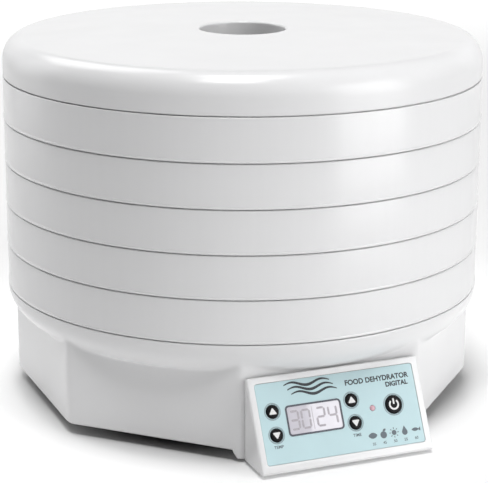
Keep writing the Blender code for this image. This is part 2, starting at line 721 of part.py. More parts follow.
def make_buttons():
    """Each button is a cap on a wider collar; a small switch waits behind it."""
    inner_face = LABEL_SINK + LABEL_THICK + GAP + POD_WALL
    collar = -inner_face - GAP
    foot = collar - COLLAR_THICK
    for name, (across, down, radius) in BUTTONS.items():
        where = {"parent": PANEL, "location": on_panel(across, down)}
        wide = radius + BUTTON_COLLAR
        turned(f"{name}_button", [
            (0, BUTTON_PROUD), (radius - BUTTON_SOFTNESS, BUTTON_PROUD),
            (radius, BUTTON_PROUD - BUTTON_SOFTNESS), (radius, collar), (wide, collar),
            (wide, foot), (0, foot)], BLACK, 16, **where)
        turned(f"{name}_switch", [
            (0, SWITCH_TOP), (0.0016, SWITCH_TOP), (0.0016, SWITCH_SHOULDER),
            (0.0030, SWITCH_SHOULDER), (0.0030, BOARD_FACE), (0, BOARD_FACE)],
            STEEL, 8, **where)
    across, down, radius = LED
    rod("status_led", radius, BOARD_FACE, 0.0002, LED_RED, parent=PANEL,
        location=on_panel(across, down))


def make_pod_screws():
    """Two screws pass through the base's front wall into the control housing."""
    inside = APOTHEM - BASE_WALL - GAP - SCREW_HEAD
    for number, x in enumerate(POD_SCREW_X, 1):
        turned(f"pod_screw_{number}", screw_profile(0.0115), STEEL, 10,
               location=(x, -inside, POD_SCREW_Z),
               rotation=(math.pi / 2, 0, 0))


# ---------------------------------------------------------------- build

make_lid()
make_trays()
make_base_housing()
make_bottom_plate()
make_feet()
make_base_screws()
make_air_deck()
make_fan_shroud()
make_motor_mount()
make_motor()
make_fan()
make_heating_element()
make_heater_clips()
make_sensors()
make_power_parts()
PANEL_HOLES = panel_holes("panel_holes")
make_control_housing(PANEL_HOLES)
make_control_panel(PANEL_HOLES)
make_display()
make_control_board()
make_buttons()
make_pod_screws()
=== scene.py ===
import json
import math

import bmesh
import bpy
import numpy as np
from mathutils import Matrix, Vector


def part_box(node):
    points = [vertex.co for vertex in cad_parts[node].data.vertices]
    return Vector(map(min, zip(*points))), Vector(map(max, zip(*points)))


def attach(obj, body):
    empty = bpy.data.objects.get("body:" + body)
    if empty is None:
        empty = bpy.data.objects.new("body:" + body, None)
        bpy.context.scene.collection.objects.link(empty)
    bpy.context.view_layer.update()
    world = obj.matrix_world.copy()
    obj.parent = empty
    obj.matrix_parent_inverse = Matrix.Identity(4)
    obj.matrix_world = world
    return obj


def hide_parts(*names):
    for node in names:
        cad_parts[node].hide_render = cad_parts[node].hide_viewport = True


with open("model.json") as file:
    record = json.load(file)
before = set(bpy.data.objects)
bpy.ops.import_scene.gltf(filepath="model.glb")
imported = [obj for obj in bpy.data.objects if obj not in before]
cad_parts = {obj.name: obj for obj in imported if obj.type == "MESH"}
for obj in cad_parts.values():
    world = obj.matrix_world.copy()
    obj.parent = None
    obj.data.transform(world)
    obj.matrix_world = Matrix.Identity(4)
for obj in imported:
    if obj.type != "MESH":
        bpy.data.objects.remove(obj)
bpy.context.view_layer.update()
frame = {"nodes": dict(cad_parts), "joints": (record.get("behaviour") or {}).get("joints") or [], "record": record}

# The looks of a food dehydrator: a white moulded stack of five trays under a domed lid, on an
# octagonal base with a sloping control panel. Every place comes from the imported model; the
# sizes below are the small shapes that the plain solids leave out. Lengths are metres.

NODES = frame["nodes"]
JOINTS = {joint["name"]: joint for joint in frame["joints"]}

# ---------------------------------------------------------------- places read from the frame

TRAYS = sorted(name for name in NODES if name.startswith("tray_"))
KEYS = sorted(name[:-len("_button")] for name in NODES if name.endswith("_button"))


def middle(node):
    low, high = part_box(node)
    return (low + high) / 2


def extent(node, direction):
    """The lowest and highest reach of a node along a direction."""
    reach = [vertex.co.dot(direction) for vertex in NODES[node].data.vertices]
    return min(reach), max(reach)


AXIS_Y = middle("tray_1").y
STACK_RADIUS = (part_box("tray_1")[1].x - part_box("tray_1")[0].x) / 2
LID_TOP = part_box("lid")[1].z
BASE_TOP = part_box("tray_5")[0].z
TRAY_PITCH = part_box("tray_1")[0].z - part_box("tray_2")[0].z
FIRST_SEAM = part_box("lid")[0].z
FLOOR_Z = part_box("foot_1")[0].z

OUTWARD = -Vector(JOINTS["power_press"]["axis"]).normalized()
ACROSS = Vector((1, 0, 0))
UPSLOPE = OUTWARD.cross(ACROSS)

# ---------------------------------------------------------------- small shapes

ROUND = 180                  # sides of the large turned pieces
WALL = 0.0022
WALL_RADIUS = STACK_RADIUS - 0.0004
BEAD_HEIGHT = 0.0016         # proud ring round each tray's foot
SEAM_OPEN = 0.0006
LIP_OUTER = 0.168
LIP_INNER = 0.166
DUCT_INNER = 0.152
HUB_RADIUS = 0.032
HUB_SIDES = 72
FLOOR_LOW = 0.0035
FLOOR_THICK = 0.003

LID_RADIUS = STACK_RADIUS - 0.0006
LID_CROWN = 0.003
SHOULDER_WIDTH = 0.015
SHOULDER_HEIGHT = 0.017
VENT_RADIUS = 0.0305
VENT_DEPTH = 0.017
VENT_EDGE = 0.0018           # rounding of the vent's upper rim
VENT_DRAFT = 0.0014          # moulding draft; the neck stays outside the stated opening

BASE_WALL = 0.0025
CORNER_RADIUS = 0.1677
APOTHEM = CORNER_RADIUS * math.cos(math.pi / 8)
BOWL_RADIUS = 0.025
SKIRT_BOTTOM = 0.0078
APRON_BOTTOM = 0.0020
APRON_DEPTH = 0.0045
APRON_RAMP = 0.0024
CORNER_SOFTNESS = 0.0014     # rounds the skirt's upright corners
CREASE_SOFTNESS = 0.0008     # fillet where the collar meets the skirt
CREASE_LOW = 0.044           # heights between which the collar and the skirt meet
CREASE_HIGH = 0.0722
INSIDE_LOW = 0.050           # lowest curved ring inside the collar
SKIRT_EDGE = 0.0019          # rounding of the skirt's lower edge

FLANGE_OUTER = 0.1634        # slotted rim of the air deck
FLANGE_INNER = 0.1480
FLANGE_LOW = 0.0700
FLANGE_HIGH = 0.0720
FLANGE_SLOT_INNER = 0.1520
FLANGE_SLOT_OUTER = 0.1608
FLANGE_SLOT_HALF = 7.6       # degrees

LABEL_MARGIN_TOP = 0.0041    # bezel above the label, measured on the slope
LABEL_CORNER = 0.0016
BEZEL_EDGE = 0.0014
POD_GAP = 0.0007             # shadow line between the wedge and the skirt
KEY_COLLAR = 0.0012
PRINT = 0.00005              # thickness of printed ink


# ---------------------------------------------------------------- outline helpers

def arc(centre, width, height, start, stop, steps):
    """Points of an ellipse from one angle to another, in degrees."""
    angles = np.radians(np.linspace(start, stop, steps + 1))
    return [(centre[0] + width * math.cos(a), centre[1] + height * math.sin(a)) for a in angles]


def circle(x, y, radius, sides=48):
    return arc((x, y), radius, radius, 0, 360 - 360 / sides, sides - 1)


def rounded(corners, steps=5):
    """A closed outline from (x, y, radius) corners, each turned into an arc."""
    points = []
    count = len(corners)
    for i, (x, y, radius) in enumerate(corners):
        here = Vector((x, y))
        before = Vector(corners[i - 1][:2]) - here
        after = Vector(corners[(i + 1) % count][:2]) - here
        turn = before.angle(after, 0)
        if radius <= 0 or turn > math.radians(179):
            points.append((x, y))
            continue
        reach = radius / math.tan(turn / 2)
        before.normalize()
        after.normalize()
        first = here + before * reach
        last = here + after * reach
        centre = here + (before + after).normalized() * (radius / math.sin(turn / 2))
        arm = first - centre
        sweep = arm.angle_signed(last - centre)
        for k in range(steps + 1):
            points.append(tuple(centre + Matrix.Rotation(-sweep * k / steps, 2) @ arm))
    return points


def rectangle(left, low, right, high, radius=0.0, steps=5):
    return rounded([(left, low, radius), (right, low, radius),
                    (right, high, radius), (left, high, radius)], steps)


def moved(outline, x, y, scale=1.0, turn=0.0):
    c, s = math.cos(turn) * scale, math.sin(turn) * scale
    return [(x + c * px - s * py, y + s * px + c * py) for px, py in outline]


# ---------------------------------------------------------------- mesh helpers

def finish_mesh(bm, name, angle=38.0):
    """Weld, face outwards and shade a mesh."""
    bmesh.ops.remove_doubles(bm, verts=bm.verts[:], dist=1e-7)
    bmesh.ops.recalc_face_normals(bm, faces=bm.faces[:])
    mesh = bpy.data.meshes.new(name)
    bm.to_mesh(mesh)
    bm.free()
    mesh.shade_smooth()
    mesh.set_sharp_from_angle(angle=math.radians(angle))
    return mesh


def add_loft(bm, rings, closed_rings=True):
    """Skin between rings of equally many points; the last ring joins the first."""
    loops = [[bm.verts.new(point) for point in ring] for ring in rings]
    pairs = list(zip(loops, loops[1:]))
    if closed_rings:
        pairs.append((loops[-1], loops[0]))
    for first, second in pairs:
        for i in range(len(first)):
            j = (i + 1) % len(first)
            bm.faces.new((first[i], first[j], second[j], second[i]))
    return loops


def add_lathe(bm, profile, sides=ROUND):
    """Turn a closed (radius, height) outline about the stack's axis."""
    angles = np.linspace(0, 2 * math.pi, sides, endpoint=False)
    rings = [[(r * math.cos(a), AXIS_Y + r * math.sin(a), z) for a in angles]
             for r, z in profile]
    add_loft(bm, rings)


def add_spindle(bm, profile, sides=48):
    """Turn an open (radius, height) outline whose two ends lie on the local Z axis."""
    angles = np.linspace(0, 2 * math.pi, sides, endpoint=False)
    rings = [[(r * math.cos(a), r * math.sin(a), z) for a in angles] for r, z in profile[1:-1]]
    loops = add_loft(bm, rings, closed_rings=False)
    for loop, (_, z) in ((loops[0], profile[0]), (loops[-1], profile[-1])):
        tip = bm.verts.new((0, 0, z))
        for i in range(len(loop)):
            bm.faces.new((loop[i], loop[(i + 1) % len(loop)], tip))


def add_plate(bm, outlines, low, high, soften=0.0):
    """A flat plate between two heights; outlines inside others are holes."""
    curve = bpy.data.curves.new("plate", "CURVE")
    curve.dimensions = "2D"
    curve.fill_mode = "BOTH"
    curve.extrude = (high - low) / 2 - soften
    curve.bevel_depth = soften
    curve.bevel_resolution = 2
    curve.offset = -soften
    for outline in outlines:
        spline = curve.splines.new("POLY")
        spline.points.add(len(outline) - 1)
        for point, (x, y) in zip(spline.points, outline):
            point.co = (x, y, 0, 1)
        spline.use_cyclic_u = True
    obj = bpy.data.objects.new("plate", curve)
    bpy.context.scene.collection.objects.link(obj)
    bpy.context.view_layer.update()
    mesh = bpy.data.meshes.new_from_object(obj.evaluated_get(bpy.context.evaluated_depsgraph_get()))
    mesh.transform(Matrix.Translation((0, 0, (low + high) / 2)))
    bm.from_mesh(mesh)
    bpy.data.meshes.remove(mesh)
    bpy.data.objects.remove(obj)
    bpy.data.curves.remove(curve)


def add_text(bm, words, x, y, size, low, high, weight=0.0):
    """Flat letters in the local XY plane, made bolder by their weight."""
    curve = bpy.data.curves.new("words", "FONT")
    curve.body = words
    curve.size = size
    curve.align_x = "CENTER"
    curve.align_y = "CENTER"
    curve.extrude = (high - low) / 2
    curve.resolution_u = 4
    curve.offset = weight
    obj = bpy.data.objects.new("words", curve)
    bpy.context.scene.collection.objects.link(obj)
    bpy.context.view_layer.update()
    mesh = bpy.data.meshes.new_from_object(obj.evaluated_get(bpy.context.evaluated_depsgraph_get()))
    mesh.transform(Matrix.Translation((x, y, (low + high) / 2)))
    bm.from_mesh(mesh)
    bpy.data.meshes.remove(mesh)
    bpy.data.objects.remove(obj)
    bpy.data.curves.remove(curve)


def merge_plate(bm, outlines, low, high, soften=0.0):
    """Add a flat plate that is drawn round the stack's axis."""
    plate = bmesh.new()
    add_plate(plate, outlines, low, high, soften)
    bmesh.ops.translate(plate, verts=plate.verts[:], vec=(0, AXIS_Y, 0))
    mesh = bpy.data.meshes.new("merged_plate")
    plate.to_mesh(mesh)
    plate.free()
    bm.from_mesh(mesh)
    bpy.data.meshes.remove(mesh)


def piece(name, mesh, body, material, replaces=(), matrix=None):
    """Put a mesh in the scene as a visible piece of the object."""
    obj = bpy.data.objects.new(name, mesh)
    bpy.context.scene.collection.objects.link(obj)
    if matrix is not None:
        obj.matrix_world = matrix
    mesh.materials.clear()
    mesh.materials.append(material)
    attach(obj, body)
    if replaces:
        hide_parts(*replaces)
    return obj


def carve(mesh, cutters, name):
    """Subtract closed meshes from a mesh and return the result."""
    target = bpy.data.objects.new("carved", mesh)
    bpy.context.scene.collection.objects.link(target)
    tools = []
    for cutter in cutters:
        tool = bpy.data.objects.new("cutter", cutter)
        bpy.context.scene.collection.objects.link(tool)
        tools.append(tool)
        modifier = target.modifiers.new("cut", "BOOLEAN")
        modifier.operation = "DIFFERENCE"
        modifier.solver = "EXACT"
        modifier.object = tool
    bpy.context.view_layer.update()
    graph = bpy.context.evaluated_depsgraph_get()
    result = bpy.data.meshes.new_from_object(target.evaluated_get(graph))
    result.name = name
    for obj in (target, *tools):
        bpy.data.objects.remove(obj)
    result.shade_smooth()
    result.set_sharp_from_angle(angle=math.radians(30))
    return result


# ---------------------------------------------------------------- materials

class Recipe:
    """Builds one Principled material from procedural nodes in the piece's own space."""

    def __init__(self, name, **sockets):
        self.material = bpy.data.materials.new(name)
        self.material.use_nodes = True
        self.tree = self.material.node_tree
        self.shader = self.tree.nodes["Principled BSDF"]
        for socket, value in sockets.items():
            self.shader.inputs[socket.replace("_", " ")].default_value = value
        self.coords = self.add("ShaderNodeTexCoord").outputs["Object"]

    def add(self, kind, **settings):
        node = self.tree.nodes.new(kind)
        for key, value in settings.items():
            setattr(node, key, value)
        return node

    def link(self, source, target):
        self.tree.links.new(source, target)

    def noise(self, scale, detail=2.0, vector=None, stretch=None):
        node = self.add("ShaderNodeTexNoise")
        node.inputs["Scale"].default_value = scale
        node.inputs["Detail"].default_value = detail
        source = vector or self.coords
        if stretch:
            mapping = self.add("ShaderNodeMapping")
            mapping.inputs["Scale"].default_value = stretch
            self.link(source, mapping.inputs["Vector"])
            source = mapping.outputs["Vector"]
        self.link(source, node.inputs["Vector"])
        return node.outputs["Fac"]

    def spread(self, value, low, high, start=0.3, stop=0.7):
        """Map a 0 to 1 pattern to a range."""
        node = self.add("ShaderNodeMapRange")
        node.inputs["From Min"].default_value = start
        node.inputs["From Max"].default_value = stop
        node.inputs["To Min"].default_value = low
        node.inputs["To Max"].default_value = high
        self.link(value, node.inputs["Value"])
        return node.outputs["Result"]

    def math(self, operation, first, second=None):
        node = self.add("ShaderNodeMath", operation=operation)
        for socket, value in zip(node.inputs, (first, second)):
            if value is None:
                continue
            if isinstance(value, (int, float)):
                socket.default_value = value
            else:
                self.link(value, socket)
        return node.outputs["Value"]

    def round_coords(self):
        """Coordinates unrolled about the stack: arc length and height."""
        split = self.add("ShaderNodeSeparateXYZ")
        self.link(self.coords, split.inputs["Vector"])
        y = self.math("SUBTRACT", split.outputs["Y"], AXIS_Y)
        angle = self.math("ARCTAN2", y, split.outputs["X"])
        join = self.add("ShaderNodeCombineXYZ")
        self.link(self.math("MULTIPLY", angle, STACK_RADIUS), join.inputs["X"])
        self.link(split.outputs["Z"], join.inputs["Y"])
        return join.outputs["Vector"]

    def colour(self, factor, first, second):
        node = self.add("ShaderNodeMix", data_type="RGBA")
        self.link(factor, node.inputs["Factor"])
        colour_in = [s for s in node.inputs if s.type == "RGBA"]
        colour_in[0].default_value = (*first, 1.0)
        colour_in[1].default_value = (*second, 1.0)
        colour_out = [s for s in node.outputs if s.type == "RGBA"][0]
        self.link(colour_out, self.shader.inputs["Base Color"])

    def roughness(self, value):
        self.link(value, self.shader.inputs["Roughness"])

    def bump(self, height, strength, distance, chain=None):
        """Bump the surface, on top of an earlier bump when one is given."""
        node = self.add("ShaderNodeBump")
        node.inputs["Strength"].default_value = strength
        node.inputs["Distance"].default_value = distance
        self.link(height, node.inputs["Height"])
        if chain is not None:
            self.link(chain, node.inputs["Normal"])
        self.link(node.outputs["Normal"], self.shader.inputs["Normal"])
        return node.outputs["Normal"]


def tint(colour, factor):
    return tuple(channel * factor for channel in colour)


def gloss_plastic(name, colour, roughness=0.22, flow=0.0):
    """Injection-moulded gloss plastic: soft mottling, flow lines and a faint orange peel."""
    recipe = Recipe(name, IOR=1.49)
    cloud = recipe.noise(14.0, detail=3.0)
    pattern = cloud
    if flow:
        lines = recipe.noise(150.0, detail=3.0, vector=recipe.round_coords(),
                             stretch=(1.0, 0.02, 1.0))
        pattern = recipe.math("ADD", recipe.math("MULTIPLY", cloud, 1.0 - flow),
                              recipe.math("MULTIPLY", lines, flow))
    recipe.colour(recipe.spread(pattern, 0.0, 1.0), tint(colour, 0.975), colour)
    recipe.roughness(recipe.spread(recipe.noise(30.0), roughness - 0.01, roughness + 0.015))
    skin = recipe.bump(recipe.noise(160.0, detail=0.0), 0.05, 0.0001)
    if flow:
        recipe.bump(lines, 0.16 * flow, 0.0003, chain=skin)
    return recipe.material


def satin_plastic(name, colour, roughness=0.45, ior=1.46):
    """Plastic with a fine spark-eroded texture."""
    recipe = Recipe(name, IOR=ior)
    recipe.colour(recipe.spread(recipe.noise(60.0, detail=4.0), 0.0, 1.0),
                  tint(colour, 0.88), colour)
    texture = recipe.noise(2200.0)
    recipe.roughness(recipe.spread(texture, roughness - 0.06, roughness + 0.08))
    recipe.bump(texture, 0.25, 0.00008)
    return recipe.material


def rubber(name, colour):
    recipe = Recipe(name, IOR=1.48)
    speck = recipe.noise(900.0, detail=3.0)
    recipe.colour(recipe.spread(speck, 0.0, 1.0), tint(colour, 0.7), colour)
    recipe.roughness(recipe.spread(recipe.noise(240.0), 0.66, 0.84))
    recipe.bump(speck, 0.35, 0.0001)
    return recipe.material


def metal(name, colour, roughness=0.3, stretch=(1.0, 1.0, 1.0), scale=1400.0):
    """Metal with fine drawn lines along the direction that the stretch leaves short."""
    recipe = Recipe(name, Metallic=1.0)
    lines = recipe.noise(scale, detail=3.0, stretch=stretch)
    recipe.colour(recipe.spread(lines, 0.0, 1.0), tint(colour, 0.82), colour)
    recipe.roughness(recipe.spread(lines, roughness - 0.07, roughness + 0.1))
    recipe.bump(lines, 0.12, 0.00005)
    return recipe.material


def winding(name, colour):
    """Enamelled copper wire laid side by side round a bobbin."""
    recipe = Recipe(name, Metallic=0.9)
    wave = recipe.add("ShaderNodeTexWave", wave_type="BANDS", bands_direction="X")
    wave.inputs["Scale"].default_value = 420.0
    wave.inputs["Distortion"].default_value = 0.6
    recipe.link(recipe.coords, wave.inputs["Vector"])
    recipe.colour(wave.outputs["Fac"], tint(colour, 0.35), colour)
    recipe.roughness(recipe.spread(recipe.noise(300.0), 0.28, 0.42))
    recipe.bump(wave.outputs["Fac"], 0.8, 0.0002)
    return recipe.material


def circuit_board(name, colour):
    """Solder mask over faint copper tracks."""
    recipe = Recipe(name, IOR=1.5)
    tracks = recipe.add("ShaderNodeTexBrick")
    tracks.inputs["Scale"].default_value = 90.0
    tracks.inputs["Mortar Size"].default_value = 0.06
    tracks.inputs["Color1"].default_value = (1, 1, 1, 1)
    tracks.inputs["Color2"].default_value = (0.8, 0.8, 0.8, 1)
    tracks.inputs["Mortar"].default_value = (0, 0, 0, 1)
    recipe.link(recipe.coords, tracks.inputs["Vector"])
    recipe.colour(tracks.outputs["Fac"], colour, tint(colour, 2.2))
    recipe.roughness(recipe.spread(recipe.noise(500.0), 0.25, 0.4))
    recipe.bump(tracks.outputs["Fac"], 0.3, 0.0001)
    return recipe.material


def printed_film(name, colour):
    """A matt-lacquered printed polyester label."""
    recipe = Recipe(name, IOR=1.5)
    recipe.colour(recipe.spread(recipe.noise(45.0, detail=3.0), 0.0, 1.0),
                  tint(colour, 0.96), colour)
    grain = recipe.noise(2600.0, detail=2.0)
    recipe.roughness(recipe.spread(grain, 0.30, 0.42))
    recipe.bump(grain, 0.15, 0.00004)
    return recipe.material


def ink(name, colour, roughness=0.45):
    recipe = Recipe(name)
    recipe.colour(recipe.spread(recipe.noise(1500.0, detail=2.0), 0.0, 1.0),
                  tint(colour, 0.85), colour)
    recipe.roughness(recipe.spread(recipe.noise(900.0), roughness - 0.05, roughness + 0.05))
    return recipe.material


def display_glass(name, colour):
    """A liquid crystal display behind clear plastic, with its faint shadowy mottling."""
    recipe = Recipe(name, IOR=1.5)
    recipe.colour(recipe.spread(recipe.noise(160.0, detail=3.0), 0.0, 1.0),
                  tint(colour, 0.95), colour)
    recipe.roughness(recipe.spread(recipe.noise(400.0), 0.08, 0.14))
    recipe.shader.inputs["Coat Weight"].default_value = 0.5
    recipe.shader.inputs["Coat Roughness"].default_value = 0.05
    return recipe.material


WHITE = (0.795, 0.795, 0.802)
LOOKS = {
    "lid_shell": gloss_plastic("lid_shell", WHITE, 0.24),
    "tray_plastic": gloss_plastic("tray_plastic", WHITE, 0.20, flow=0.55),
    "base_shell": gloss_plastic("base_shell", WHITE, 0.235),
    "deck_plastic": gloss_plastic("deck_plastic", WHITE, 0.31),
    "pod_shell": gloss_plastic("pod_shell", WHITE, 0.235),
    "label": printed_film("label", (0.485, 0.660, 0.695)),
    "lens": display_glass("lens", (0.660, 0.640, 0.700)),
    "button_plastic": satin_plastic("button_plastic", (0.006, 0.006, 0.007), 0.36, 1.2),
    "led_red": gloss_plastic("led_red", (0.62, 0.38, 0.43), 0.2),
    "foot_rubber": rubber("foot_rubber", (0.022, 0.022, 0.023)),
    "plate_plastic": satin_plastic("plate_plastic", (0.035, 0.035, 0.037), 0.5),
    "black_plastic": satin_plastic("black_plastic", (0.016, 0.016, 0.018), 0.42),
    "screw_steel": metal("screw_steel", (0.58, 0.58, 0.59), 0.28),
    "sheet_steel": metal("sheet_steel", (0.56, 0.56, 0.57), 0.33, (0.05, 1.0, 1.0)),
    "lamination_steel": metal("lamination_steel", (0.16, 0.16, 0.17), 0.45,
                              (0.02, 0.02, 1.0), 1800.0),
    "bearing_bronze": metal("bearing_bronze", (0.52, 0.33, 0.14), 0.4),
    "coil_copper": winding("coil_copper", (0.55, 0.20, 0.07)),
    "fan_aluminium": metal("fan_aluminium", (0.68, 0.68, 0.70), 0.3, (1.0, 0.05, 1.0)),
    "heater_sheath": metal("heater_sheath", (0.16, 0.14, 0.13), 0.42),
    "circuit_board": circuit_board("circuit_board", (0.008, 0.10, 0.04)),
    "switch_metal": metal("switch_metal", (0.5, 0.5, 0.51), 0.35),
}
DARK_INK = ink("dark_ink", (0.020, 0.026, 0.034))
GREY_INK = ink("grey_ink", (0.115, 0.145, 0.170))
# Grey rings round the keys: partly a printed ring, partly painted shade round each key's hole, in a darkened tone
# of the label
RING_INK_AND_SHADE = ink("ring_ink_and_shade", (0.285, 0.375, 0.405))
WHITE_INK = ink("white_ink", (0.80, 0.80, 0.80))
SEGMENT_INK = ink("segment_ink", (0.42, 0.39, 0.43), 0.3)
RIM_INK = ink("rim_ink", (0.055, 0.060, 0.085), 0.3)


def dress_frame():
    """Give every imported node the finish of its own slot."""
    for entry in frame["record"]["subparts"]:
        mesh = NODES[entry["node"]].data
        mesh.materials.clear()
        mesh.materials.append(LOOKS[entry["material_slot"]])


# ---------------------------------------------------------------- lid and trays

def make_lid():
    shoulder_r = LID_RADIUS - SHOULDER_WIDTH
    shoulder_z = LID_TOP - LID_CROWN - SHOULDER_HEIGHT
    rim = FIRST_SEAM + SEAM_OPEN
    crown = [(r, LID_TOP - LID_CROWN * (r / shoulder_r) ** 2)
             for r in np.linspace(VENT_RADIUS + 0.005, shoulder_r, 24)[:-1]]
    lip = arc((VENT_RADIUS + VENT_EDGE, LID_TOP - VENT_EDGE - 0.0001), VENT_EDGE, VENT_EDGE,
              180, 85, 8)
    outer = arc((shoulder_r, shoulder_z), SHOULDER_WIDTH, SHOULDER_HEIGHT, 90, 0, 22)
    inner = arc((shoulder_r, shoulder_z), SHOULDER_WIDTH - WALL, SHOULDER_HEIGHT - WALL,
                0, 90, 12)
    foot = [(LID_RADIUS, rim + 0.0005), (LID_RADIUS - 0.0005, rim),
            (LID_RADIUS - WALL + 0.0004, rim), (LID_RADIUS - WALL, rim + 0.0004)]
    under = [(r, LID_TOP - WALL - LID_CROWN * (r / shoulder_r) ** 2)
             for r in np.linspace(shoulder_r, VENT_RADIUS + WALL, 12)[1:]]
    neck_low = LID_TOP - VENT_DEPTH
    neck = [(VENT_RADIUS + WALL - VENT_DRAFT, neck_low + 0.0004),
            (VENT_RADIUS + WALL - VENT_DRAFT - 0.0004, neck_low),
            (VENT_RADIUS - VENT_DRAFT + 0.0004, neck_low),
            (VENT_RADIUS - VENT_DRAFT, neck_low + 0.0004)]
    bm = bmesh.new()
    add_lathe(bm, [*lip, *crown, *outer, *foot, *inner, *under, *neck], 240)
    piece("lid_shell", finish_mesh(bm, "lid_shell"), "lid", LOOKS["lid_shell"],
          ["lid"])


def tray_floor_cells():
    """Outlines of the air gaps between the floor's spokes and rings."""
    rings = [0.0340, 0.0520, 0.0715, 0.0910, 0.1110, 0.1310, 0.1520]
    rib = 0.0016
    cells = []
    for inner, outer in zip(rings, rings[1:]):
        count = 18 if inner < 0.07 else 36
        for i in range(count):
            cells.append((inner + rib / 2, outer - rib / 2, i, count, rib))
    for i in range(18):
        cells.append((0.1545, 0.1655, i, 18, 0.0030))
    outlines = []
    for inner, outer, i, count, rib_width in cells:
        step = 2 * math.pi / count
        steps = 4 if count == 36 else 8
        outline = []
        for radius, order in ((inner, 1), (outer, -1)):
            half = rib_width / 2 / radius
            angles = np.linspace(i * step + half, (i + 1) * step - half, steps + 1)[::order]
            outline += [(radius * math.cos(a), radius * math.sin(a)) for a in angles]
        outlines.append(outline)
    return outlines


def tray_mesh():
    """One tray with its foot edge at height zero, on the stack's axis."""
    top = TRAY_PITCH - 0.0002
    wall_inner = STACK_RADIUS - WALL
    profile = rounded([
        (WALL_RADIUS, top, 0.0007), (WALL_RADIUS, BEAD_HEIGHT + 0.0006, 0.0004),
        (STACK_RADIUS, BEAD_HEIGHT, 0.0003), (STACK_RADIUS, SEAM_OPEN, 0.0003),
        (wall_inner, SEAM_OPEN, 0.0003), (wall_inner, top - 0.0065, 0.001),
        (LIP_INNER, top - 0.0038, 0.001), (LIP_INNER, top + 0.0024, 0.0005),
        (LIP_OUTER, top + 0.0024, 0.0007), (LIP_OUTER, top, 0.0003),
    ], 4)
    bm = bmesh.new()
    add_lathe(bm, profile)
    add_lathe(bm, rectangle(DUCT_INNER, FLOOR_LOW + 0.0002, DUCT_INNER + 0.002, 0.022, 0.0006, 3))
    add_lathe(bm, rectangle(HUB_RADIUS, FLOOR_LOW + 0.0002, HUB_RADIUS + 0.002, 0.012, 0.0006, 3),
              HUB_SIDES)
    merge_plate(bm, [circle(0, 0, wall_inner + 0.0008, ROUND),
                     circle(0, 0, HUB_RADIUS + 0.0006, HUB_SIDES), *tray_floor_cells()],
                FLOOR_LOW, FLOOR_LOW + FLOOR_THICK)
    return finish_mesh(bm, "tray")


def make_trays():
    mesh = tray_mesh()
    for name in TRAYS:
        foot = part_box(name)[0].z
        piece(f"{name}_ring", mesh, name, LOOKS["tray_plastic"], [name],
              Matrix.Translation((0, 0, foot)))


# ---------------------------------------------------------------- base

def soft_min(values, softness):
    values = np.array(values)
    least = values.min(axis=0)
    return least - softness * np.log(np.exp(-(values - least) / softness).sum(axis=0))


def soft_max(values, softness):
    return -soft_min([-np.array(value) for value in values], softness)


def skirt_radius(angles, apothem):
    """Distance from the axis to the octagonal skirt, with softened corners."""
    facets = [np.where(np.cos(angles - k * math.pi / 4) > 0.5,
                       apothem / np.maximum(np.cos(angles - k * math.pi / 4), 0.5), 1.0)
              for k in range(8)]
    return soft_min(facets, CORNER_SOFTNESS)


def bowl_radius(z, inset):
    """Radius of the collar's quarter round at a height."""
    reach = BOWL_RADIUS - inset
    drop = np.clip(BASE_TOP - z, 0, reach)
    return STACK_RADIUS - BOWL_RADIUS + np.sqrt(np.maximum(reach ** 2 - drop ** 2, 0))


def base_angles():
    """Directions round the base, closer together at the corners and at the apron's ends."""
    angles = set()
    for k in range(8):
        corner = math.pi / 8 + k * math.pi / 4
        for t in np.linspace(-1, 1, 49)[:-1]:
            angles.add(round(corner + math.pi / 8 * math.copysign(abs(t) ** 1.6, t), 6))
    apron_end = math.atan2(-(APOTHEM - APRON_DEPTH), CORNER_RADIUS * math.sin(math.pi / 8)
                           + APRON_DEPTH)
    for side, inward in ((apron_end, 1), (math.pi - apron_end, -1)):
        for nudge in np.linspace(-0.002, 0.026, 15):
            angles.add(round((side - inward * nudge) % (2 * math.pi), 6))
    return np.array(sorted(a % (2 * math.pi) for a in angles))


